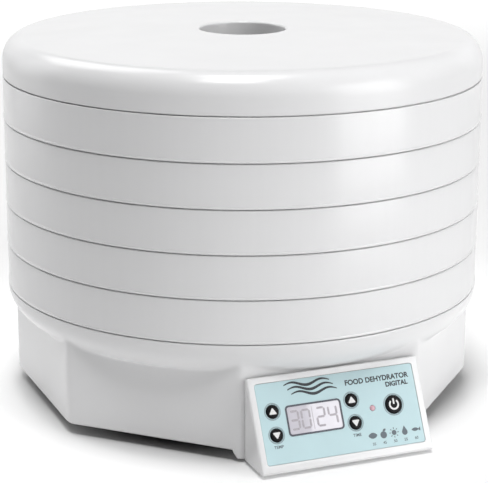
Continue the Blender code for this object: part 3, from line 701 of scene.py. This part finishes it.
def make_base_housing():
    """Octagonal skirt running up into a round collar, as one smooth closed shell."""
    angles = base_angles()
    skirt = skirt_radius(angles, APOTHEM)
    forward = -skirt * np.sin(angles)
    lowered = np.clip((forward - APOTHEM + APRON_DEPTH) / APRON_RAMP, 0, 1)
    bottom = SKIRT_BOTTOM + (APRON_BOTTOM - SKIRT_BOTTOM) * lowered ** 0.8
    crease_top = CREASE_HIGH
    top = BASE_TOP - 0.0002

    def ring(radius, height):
        height = np.broadcast_to(height, radius.shape)
        return list(zip(radius * np.cos(angles), AXIS_Y + radius * np.sin(angles), height))

    edge = SKIRT_EDGE
    rings = [ring(skirt - edge + edge * math.sin(a), bottom + edge - edge * math.cos(a))
             for a in np.radians([0, 20, 40, 60, 75])]
    rings.append(ring(skirt, bottom + edge))
    rings.append(ring(skirt, 0.6 * bottom + 0.4 * INSIDE_LOW))
    heights = np.concatenate([np.linspace(CREASE_LOW, crease_top, 40),
                              np.linspace(crease_top, top - 0.0007, 12)[1:]])
    for z in heights:
        bowl = np.full_like(angles, bowl_radius(z, 0.0))
        rings.append(ring(soft_max([skirt, bowl], CREASE_SOFTNESS * min(1, (top - z) / 0.012)
                                   + 1e-5), z))
    full = np.full_like(angles, 1.0)
    collar = float(bowl_radius(top, 0.0))
    rings.append(ring(full * (collar - 0.0002), top - 0.0002))
    rings.append(ring(full * (collar - 0.0007), top))
    for radius, height in ((LIP_OUTER + 0.0003, top), (LIP_OUTER, top + 0.0003),
                           (LIP_OUTER, top + 0.0019), (LIP_OUTER - 0.0005, top + 0.0024),
                           (LIP_INNER + 0.0005, top + 0.0024), (LIP_INNER, top + 0.0019),
                           (LIP_INNER, top - 0.005)):
        rings.append(ring(full * radius, height))
    inner_skirt = skirt_radius(angles, APOTHEM - BASE_WALL)
    for z in np.linspace(top - 0.007, INSIDE_LOW, 16):
        bowl = np.full_like(angles, bowl_radius(z, BASE_WALL))
        rings.append(ring(soft_max([inner_skirt, bowl], CREASE_SOFTNESS), z))
    rings.append(ring(inner_skirt, 0.6 * bottom + 0.4 * 0.045))
    rings.append(ring(inner_skirt, bottom + 0.0006))
    rings.append(ring(inner_skirt + 0.0006, bottom))
    bm = bmesh.new()
    add_loft(bm, rings)
    piece("base_shell", finish_mesh(bm, "base_shell", 45), "base",
          LOOKS["base_shell"], ["base_housing"])


def make_air_deck():
    """The base's slotted cover: a shallow upturned pan with a low outer flange."""
    bm = bmesh.new()
    profile = rounded([
        (0.0300, 0.0805, 0.02), (0.1485, 0.0774, 0.003), (0.1495, 0.0720, 0.001),
        (0.1495, 0.0702, 0), (0.1475, 0.0702, 0.0), (0.1470, 0.0738, 0.001),
        (0.1440, 0.0755, 0.002), (0.0300, 0.0785, 0.02), (0.0012, 0.0785, 0),
        (0.0012, 0.0805, 0),
    ], 5)
    add_lathe(bm, profile)
    slots = []
    for i in range(18):
        half = math.radians(FLANGE_SLOT_HALF)
        centre = math.radians(5 + 20 * i)
        outline = []
        for radius, order in ((FLANGE_SLOT_INNER, 1), (FLANGE_SLOT_OUTER, -1)):
            outline += [(radius * math.cos(a), radius * math.sin(a))
                        for a in np.linspace(centre - half, centre + half, 9)[::order]]
        slots.append(outline)
    merge_plate(bm, [circle(0, 0, FLANGE_OUTER, ROUND), circle(0, 0, FLANGE_INNER, ROUND),
                     *slots], FLANGE_LOW, FLANGE_HIGH, 0.0002)
    piece("air_deck_cover", finish_mesh(bm, "air_deck_cover"), "base",
          LOOKS["deck_plastic"], ["air_deck"])


def make_feet():
    for name in sorted(node for node in NODES if node.startswith("foot_")):
        low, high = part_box(name)
        radius = (high.x - low.x) / 2
        height = high.z - low.z
        bm = bmesh.new()
        profile = [(0, height), (radius, height),
                   *arc((radius - 0.0015, 0.0022), 0.0015, 0.0022, 0, -90, 6),
                   (radius - 0.0035, 0.0), (radius - 0.0040, 0.0004), (0, 0.0004)]
        add_spindle(bm, profile, 64)
        centre = middle(name)
        piece(f"{name}_pad", finish_mesh(bm, f"{name}_pad"), "base",
              LOOKS["foot_rubber"], [name],
              Matrix.Translation((centre.x, centre.y, low.z)))


# ---------------------------------------------------------------- control housing and panel

LABEL_TOP_EDGE = extent("control_panel", UPSLOPE)[1]
FACE = extent("control_housing", OUTWARD)[1]
PANEL = Matrix((ACROSS, UPSLOPE, OUTWARD)).transposed().to_4x4()
PANEL.translation = UPSLOPE * (LABEL_TOP_EDGE + LABEL_MARGIN_TOP) + OUTWARD * FACE
TO_PANEL = PANEL.inverted()


def panel_box(node):
    """A node's low and high corners in the panel's own frame."""
    points = np.array([TO_PANEL @ vertex.co for vertex in NODES[node].data.vertices])
    return points.min(axis=0), points.max(axis=0)


def key_place(node):
    low, high = panel_box(node)
    return (low[0] + high[0]) / 2, (low[1] + high[1]) / 2, (high[0] - low[0]) / 2


LABEL_LOW, LABEL_HIGH = panel_box("control_panel")
LABEL_FACE = LABEL_HIGH[2]
WINDOW_LOW, WINDOW_HIGH = panel_box("display_window")
LED_X, LED_Y, LED_RADIUS = key_place("status_led")


def key_outlines(grow):
    outlines = []
    for key in KEYS:
        x, y, radius = key_place(f"{key}_button")
        outlines.append(circle(x, y, radius - KEY_COLLAR + grow, 64))
    outlines.append(circle(LED_X, LED_Y, LED_RADIUS + 0.0002, 40))
    return outlines


def wedge_rings(half_width, soft, inset=0.0, back_out=0.0):
    """Upright sections of the wedge from left to right, drawn in towards its sides."""
    low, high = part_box("control_housing")
    back = high.y - POD_GAP + back_out
    bottom = low.z + inset
    top = high.z - inset
    slope = OUTWARD.xyz
    face_point = PANEL.translation - slope * inset

    def section(x, draw):
        """The wedge's outline in the plane at x, its faces moved in by 'draw'."""
        roof = top - draw
        base = bottom + draw
        face_at = face_point - slope * draw

        def front(z):
            return face_at.y - (z - face_at.z) * slope.z / slope.y

        corners = [(back, roof, 0.0), (front(roof), roof, min(0.0005, (back - front(roof)) / 2.5)),
                   (front(base), base, 0.0016), (back, base, 0.0)]
        return [(x, y, z) for y, z in rounded(corners, 6)]

    rings = []
    for a in np.radians([90, 72, 54, 36, 18, 0]):
        draw = soft * (1 - abs(math.cos(a)))
        rings.append(section(-half_width + soft * (1 - math.sin(a)), draw))
    mirrored = [[(-x, y, z) for x, y, z in ring] for ring in reversed(rings)]
    return rings, mirrored


def wedge_mesh(name, half_width, soft, inset=0.0, back_out=0.0):
    rings, mirrored = wedge_rings(half_width, soft, inset, back_out)
    bm = bmesh.new()
    loops = add_loft(bm, rings + mirrored, closed_rings=False)
    bm.faces.new(loops[0])
    bm.faces.new(loops[-1])
    return finish_mesh(bm, name, 30)


def plate_mesh(name, outlines, low, high, soften=0.0, matrix=None):
    bm = bmesh.new()
    add_plate(bm, outlines, low, high, soften)
    if matrix is not None:
        bm.transform(matrix)
    return finish_mesh(bm, name, 30)


def make_control_housing():
    half = (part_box("control_housing")[1].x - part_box("control_housing")[0].x) / 2
    shell = wedge_mesh("pod", half, BEZEL_EDGE)
    hollow = wedge_mesh("pod_hollow", half - 0.0018, 0.0, inset=0.0034, back_out=0.004)
    grow = 0.0003
    field = plate_mesh("field", [rectangle(LABEL_LOW[0] - grow, LABEL_LOW[1] - grow,
                                           LABEL_HIGH[0] + grow, LABEL_HIGH[1] + grow,
                                           LABEL_CORNER + grow, 6)],
                       LABEL_LOW[2] - grow, 0.003, matrix=PANEL)
    window = plate_mesh("window", [rectangle(WINDOW_LOW[0] - grow, WINDOW_LOW[1] - grow,
                                             WINDOW_HIGH[0] + grow, WINDOW_HIGH[1] + grow)],
                        -0.006, 0.002, matrix=PANEL)
    holes = [plate_mesh("hole", [outline], -0.006, 0.002, matrix=PANEL)
             for outline in key_outlines(0.0005)]
    mesh = carve(shell, [hollow, field, window, *holes], "pod_shell")
    piece("pod_shell", mesh, "base", LOOKS["pod_shell"], ["control_housing"])


def make_label():
    outline = rectangle(LABEL_LOW[0], LABEL_LOW[1], LABEL_HIGH[0], LABEL_HIGH[1],
                        LABEL_CORNER, 6)
    window = rectangle(WINDOW_LOW[0] - 0.0003, WINDOW_LOW[1] - 0.0003,
                       WINDOW_HIGH[0] + 0.0003, WINDOW_HIGH[1] + 0.0003, 0.0014)
    mesh = plate_mesh("label_film", [outline, window, *key_outlines(0.0005)],
                      LABEL_LOW[2], LABEL_FACE)
    piece("label_film", mesh, "base", LOOKS["label"], ["control_panel"], PANEL)


def printed(name, outlines, material):
    mesh = plate_mesh(name, outlines, LABEL_FACE, LABEL_FACE + PRINT)
    piece(name, mesh, "base", material, matrix=PANEL)


def printed_words(name, lines, material, weight):
    bm = bmesh.new()
    for words, x, y, size in lines:
        add_text(bm, words, x, y, size, LABEL_FACE, LABEL_FACE + PRINT, weight)
    piece(name, finish_mesh(bm, name), "base", material, matrix=PANEL)


# Lit bars of each digit. The bars of segment_outlines are a top, d middle, g bottom, b and e
# left (upper and lower), c and f right (upper and lower).
DIGIT_OFFSETS = (-0.0143, -0.0062, 0.0045, 0.0131)   # from the display's middle
DIGIT_WIDTH = 0.0056
DIGIT_HEIGHT = 0.0118
DIGIT_BAR = 0.0014
DIVIDER_HALF = 0.0076
SEGMENTS = {"0": "abcefg", "2": "acdeg", "3": "acdfg", "4": "bcdf"}


def segment_outlines(digit, x, y, width, height, bar):
    """Bars of one digit, each with pointed ends, around its middle."""
    half_w, half_h = width / 2, height / 2
    gap = bar * 0.12
    spans = {
        "a": ((-half_w, half_h), (half_w, half_h)), "d": ((-half_w, 0), (half_w, 0)),
        "g": ((-half_w, -half_h), (half_w, -half_h)), "b": ((-half_w, 0), (-half_w, half_h)),
        "c": ((half_w, 0), (half_w, half_h)), "e": ((-half_w, -half_h), (-half_w, 0)),
        "f": ((half_w, -half_h), (half_w, 0)),
    }
    outlines = []
    for segment in SEGMENTS[digit]:
        first, last = (Vector(point) for point in spans[segment])
        along = (last - first).normalized()
        side = Vector((-along.y, along.x)) * bar / 2
        first, last = first + along * gap, last - along * gap
        tip = along * bar / 2
        outlines.append([(x + p.x, y + p.y) for p in (
            first, first + tip + side, last - tip + side, last, last - tip - side,
            first + tip - side)])
    return outlines


def make_display():
    overlap = 0.0009
    rim = 0.0003
    outer = rectangle(WINDOW_LOW[0] - overlap, WINDOW_LOW[1] - overlap,
                      WINDOW_HIGH[0] + overlap, WINDOW_HIGH[1] + overlap, 0.0026, 7)
    inner = rectangle(WINDOW_LOW[0] + rim, WINDOW_LOW[1] + rim,
                      WINDOW_HIGH[0] - rim, WINDOW_HIGH[1] - rim, 0.0015, 7)
    mesh = plate_mesh("display_rim", [outer, inner], WINDOW_HIGH[2], WINDOW_HIGH[2] + 0.00018)
    piece("display_rim", mesh, "base", RIM_INK, matrix=PANEL)
    glass = plate_mesh("display_glass", [rectangle(*WINDOW_LOW[:2], *WINDOW_HIGH[:2], 0.0010)],
                       WINDOW_LOW[2], WINDOW_HIGH[2], 0.0001)
    piece("display_glass", glass, "base", LOOKS["lens"], ["display_window"], PANEL)
    centre_x = (WINDOW_LOW[0] + WINDOW_HIGH[0]) / 2
    centre_y = (WINDOW_LOW[1] + WINDOW_HIGH[1]) / 2
    digits = []
    for digit, offset in zip("3024", DIGIT_OFFSETS):
        digits += segment_outlines(digit, centre_x + offset, centre_y, DIGIT_WIDTH,
                                   DIGIT_HEIGHT, DIGIT_BAR)
    digits.append(rectangle(centre_x - 0.0015, centre_y - DIVIDER_HALF, centre_x - 0.0011,
                            centre_y + DIVIDER_HALF))
    mesh = plate_mesh("display_digits", digits, WINDOW_HIGH[2], WINDOW_HIGH[2] + PRINT)
    piece("display_digits", mesh, "base", SEGMENT_INK, matrix=PANEL)


def key_symbol(key):
    """White marks on the caps: arrows up and down, and the power sign."""
    if key == "power":
        outer_arc = arc((0, 0), 0.0037, 0.0037, 130, 410, 32)
        inner_arc = arc((0, 0), 0.0025, 0.0025, 410, 130, 32)
        return [outer_arc + inner_arc, rectangle(-0.0006, 0.0002, 0.0006, 0.0041, 0.0003)]
    point = 0.0027 if key.endswith("up") else -0.0027
    base = -0.0019 if key.endswith("up") else 0.0019
    corners = [(0, point, 0.0005), (0.0029, base, 0.0005), (-0.0029, base, 0.0005)]
    return [rounded(corners, 4)]


def make_keys():
    rings = []
    for key in KEYS:
        node = f"{key}_button"
        x, y, collar = key_place(node)
        radius = collar - KEY_COLLAR
        low, high = panel_box(node)
        foot = low[2]
        step = foot + 0.0009
        top = high[2]
        soft = 0.00035
        bm = bmesh.new()
        add_spindle(bm, [(0, top), (radius - soft, top),
                         *arc((radius - soft, top - soft), soft, soft, 72, 0, 5),
                         (radius, step), (collar, step), (collar, foot), (0, foot)], 64)
        place = PANEL @ Matrix.Translation((x, y, 0))
        piece(f"{key}_cap", finish_mesh(bm, f"{key}_cap"), node,
              LOOKS["button_plastic"], [node], place)
        mark = plate_mesh(f"{key}_mark", key_symbol(key), top, top + PRINT)
        piece(f"{key}_mark", mark, node, WHITE_INK, matrix=place)
        # Two circles per key make a grey ring just outside the hole: partly printed ring, partly painted shade
        # round the hole
        rings += [circle(x, y, radius + 0.0016, 64), circle(x, y, radius + 0.0008, 64)]
    printed("key_rings_and_shade", rings, RING_INK_AND_SHADE)


def make_led():
    low, high = panel_box("status_led")
    bm = bmesh.new()
    top = high[2]
    dome = arc((0, top - 0.0006), LED_RADIUS, 0.0006, 90, 0, 8)
    add_spindle(bm, [*dome, (LED_RADIUS, low[2]), (0, low[2])], 40)
    piece("status_lamp", finish_mesh(bm, "status_lamp"), "base", LOOKS["led_red"],
          ["status_led"], PANEL @ Matrix.Translation((LED_X, LED_Y, 0)))


def leaf(size):
    """A pointed leaf with a split for its midrib."""
    upper = arc((0, -0.55 * size), 1.14 * size, 1.14 * size, 151, 29, 10)
    lower = [(x, -y) for x, y in reversed(upper)][1:-1]
    return [upper + lower]


def drop(size):
    return [[(0, 1.1 * size)] + arc((0, -0.2 * size), 0.62 * size, 0.62 * size, 30, -210, 14)]


def sun(size):
    rays = [moved(rectangle(0.72 * size, -0.08 * size, 1.05 * size, 0.08 * size), 0, 0, 1,
                  math.radians(45 * i)) for i in range(8)]
    return [circle(0, 0, 0.52 * size, 20), *rays]


def fruit(size):
    return [circle(0, -0.15 * size, 0.72 * size, 24),
            moved(leaf(0.42 * size)[0], 0.28 * size, 0.78 * size, 1, 0.6)]


def fish(size):
    body = arc((0, -0.75 * size), 1.1 * size, 1.1 * size, 137, 43, 10)
    body += [(x, -y) for x, y in reversed(body)][1:-1]
    tail = [(0.72 * size, 0), (1.15 * size, 0.42 * size), (1.15 * size, -0.42 * size)]
    return [body, tail]


def wave(length, rise, thick, periods=1.5, steps=36):
    """A wavy ribbon that stands for warm air."""
    upper = []
    for i in range(steps + 1):
        t = i / steps
        taper = thick * (0.35 + 0.65 * math.sin(math.pi * t))
        upper.append((t * length, rise * math.sin(2 * math.pi * periods * t), taper))
    return ([(x, y + w / 2) for x, y, w in upper]
            + [(x, y - w / 2) for x, y, w in reversed(upper)])


def make_prints():
    """Generic marks: warm-air waves, product type, key captions and a row of food signs."""
    length, rise, thick = 0.0330, 0.0014, 0.0019
    ribbons = [moved(wave(length, rise, thick), -0.0370 + 0.0022 * i, -0.0072 - 0.0032 * i)
               for i in range(3)]
    printed("warm_air_sign", ribbons, DARK_INK)
    printed_words("type_words", [("FOOD DEHYDRATOR", 0.0300, -0.0114, 0.0048),
                                 ("DIGITAL", 0.0440, -0.0161, 0.0044)], DARK_INK, 0.00016)
    printed_words("key_captions", [("TEMP", -0.0475, -0.0464, 0.0028),
                                   ("TIME", 0.0090, -0.0464, 0.0028)], GREY_INK, 0.00005)
    signs = []
    numbers = []
    first_x, pitch = 0.0200, 0.00785
    sign_y, sign_size = -0.0484, 0.0033
    number_y, number_size = -0.0541, 0.0026
    for i, (sign, degrees) in enumerate(zip((leaf, fruit, sun, drop, fish),
                                            ("35", "45", "50", "55", "60"))):
        x = first_x + pitch * i
        signs += [moved(outline, x, sign_y) for outline in sign(sign_size)]
        numbers.append((degrees, x, number_y, number_size))
    printed("food_signs", signs, GREY_INK)
    printed_words("food_numbers", numbers, GREY_INK, 0.00004)


# ---------------------------------------------------------------- studio

CAMERA_AZIMUTH = -22.5       # degrees
CAMERA_ELEVATION = 15.63
CAMERA_ROLL = 0.185
CAMERA_DISTANCE = 1.294
FOCAL_LENGTH = 129.7         # millimetres
AIM_HEIGHT = 0.105
AIM_SIDE = 0.00147
MIDDLE_HEIGHT = 0.12         # what the softboxes point at


def camera():
    """A long lens a little above the object, to the left of the panel's front."""
    data = bpy.data.cameras.new("camera")
    data.sensor_width = 36.0
    data.lens = FOCAL_LENGTH
    obj = bpy.data.objects.new("camera", data)
    bpy.context.scene.collection.objects.link(obj)
    azimuth, elevation = math.radians(CAMERA_AZIMUTH), math.radians(CAMERA_ELEVATION)
    right = Vector((math.cos(azimuth), math.sin(azimuth), 0))
    target = Vector((0, AXIS_Y, AIM_HEIGHT)) + right * AIM_SIDE
    back = Vector((math.sin(azimuth) * math.cos(elevation),
                   -math.cos(azimuth) * math.cos(elevation), math.sin(elevation)))
    obj.location = target + back * CAMERA_DISTANCE
    turn = back.to_track_quat("Z", "Y").to_matrix().to_4x4()
    obj.matrix_world = (Matrix.Translation(obj.location) @ turn
                        @ Matrix.Rotation(math.radians(CAMERA_ROLL), 4, "Z"))
    bpy.context.scene.camera = obj


def around_object(azimuth, elevation, distance):
    """A place in the studio; azimuth is measured from the camera, positive to its right."""
    angle = math.radians(azimuth + CAMERA_AZIMUTH)
    flat = distance * math.cos(math.radians(elevation))
    return Vector((flat * math.sin(angle), AXIS_Y - flat * math.cos(angle),
                   MIDDLE_HEIGHT + distance * math.sin(math.radians(elevation))))


def softbox(name, place, size, power):
    """A square area light that faces the object."""
    data = bpy.data.lights.new(name, "AREA")
    data.size = size
    data.energy = power
    obj = bpy.data.objects.new(name, data)
    obj.visible_camera = False
    bpy.context.scene.collection.objects.link(obj)
    obj.location = place
    aim = Vector((0, AXIS_Y, MIDDLE_HEIGHT)) - place
    obj.rotation_euler = aim.to_track_quat("-Z", "Y").to_euler()


def reflector(name, start, stop, distance, height, strength):
    """A curved white panel standing on the floor round the object, between two azimuths."""
    material = bpy.data.materials.new(name)
    material.use_nodes = True
    tree = material.node_tree
    tree.nodes.remove(tree.nodes["Principled BSDF"])
    glow = tree.nodes.new("ShaderNodeEmission")
    glow.inputs["Strength"].default_value = strength
    tree.links.new(glow.outputs["Emission"], tree.nodes["Material Output"].inputs["Surface"])
    bm = bmesh.new()
    angles = np.radians(np.linspace(start, stop, 17) + CAMERA_AZIMUTH)
    low, high = [[bm.verts.new((distance * math.sin(a), AXIS_Y - distance * math.cos(a), z))
                  for a in angles] for z in (FLOOR_Z, FLOOR_Z + height)]
    for i in range(len(angles) - 1):
        bm.faces.new((low[i], low[i + 1], high[i + 1], high[i]))
    mesh = bpy.data.meshes.new(name)
    bm.to_mesh(mesh)
    bm.free()
    mesh.materials.append(material)
    obj = bpy.data.objects.new(name, mesh)
    obj.visible_camera = False
    bpy.context.scene.collection.objects.link(obj)


def studio():
    scene = bpy.context.scene
    scene.view_settings.view_transform = "Standard"
    world = bpy.data.worlds.new("studio")
    world.use_nodes = True
    world.node_tree.nodes["Background"].inputs["Color"].default_value = (1, 1, 1, 1)
    world.node_tree.nodes["Background"].inputs["Strength"].default_value = 0.014
    scene.world = world
    bpy.ops.mesh.primitive_plane_add(size=16, location=(0, AXIS_Y, FLOOR_Z - 0.0002))
    floor = bpy.context.object
    floor.name = "floor"
    recipe = Recipe("floor_paint_and_glow", IOR=1.3)
    recipe.colour(recipe.spread(recipe.noise(3.0), 0.0, 1.0), (0.755, 0.755, 0.755),
                  (0.775, 0.775, 0.775))
    recipe.roughness(recipe.spread(recipe.noise(40.0), 0.75, 0.85))
    # Painted light on the floor: a glowing ring round the base rises from 0.14 to 0.19 m, lightening the edge of
    # the shade under the skirt, and fades out by 0.42 m; beyond 1.2 m the far floor glows evenly
    recipe.shader.inputs["Emission Color"].default_value = (1, 1, 1, 1)
    reach = recipe.add("ShaderNodeVectorMath", operation="LENGTH")
    recipe.link(recipe.coords, reach.inputs[0])
    near = recipe.spread(reach.outputs["Value"], 0.0, 0.16, 0.140, 0.190)
    fade = recipe.spread(reach.outputs["Value"], 1.0, 0.0, 0.23, 0.42)
    far = recipe.spread(reach.outputs["Value"], 0.0, 0.22, 1.2, 2.4)
    glow = recipe.math("ADD", recipe.math("MULTIPLY", near, fade), far)
    recipe.link(glow, recipe.shader.inputs["Emission Strength"])
    floor.data.materials.append(recipe.material)
    softbox("overhead", around_object(0, 90, 6.0), 1.5, 142)
    softbox("front_top", around_object(-10, 70, 6.0), 1.5, 152)
    softbox("rear_left_top", around_object(-135, 50, 3.0), 1.6, 27)
    reflector("right_panel", 42, 76, 1.6, 1.2, 4.1)
    reflector("left_panel", -126, -100, 1.6, 1.2, 1.45)
    reflector("rear_right_panel", 126, 180, 2.2, 1.2, 0.8)
    reflector("rear_left_panel", -180, -126, 2.2, 1.2, 0.8)


# ---------------------------------------------------------------- build

dress_frame()
camera()
make_lid()
make_trays()
make_base_housing()
make_air_deck()
make_feet()
make_control_housing()
make_label()
make_display()
make_keys()
make_led()
make_prints()
studio()
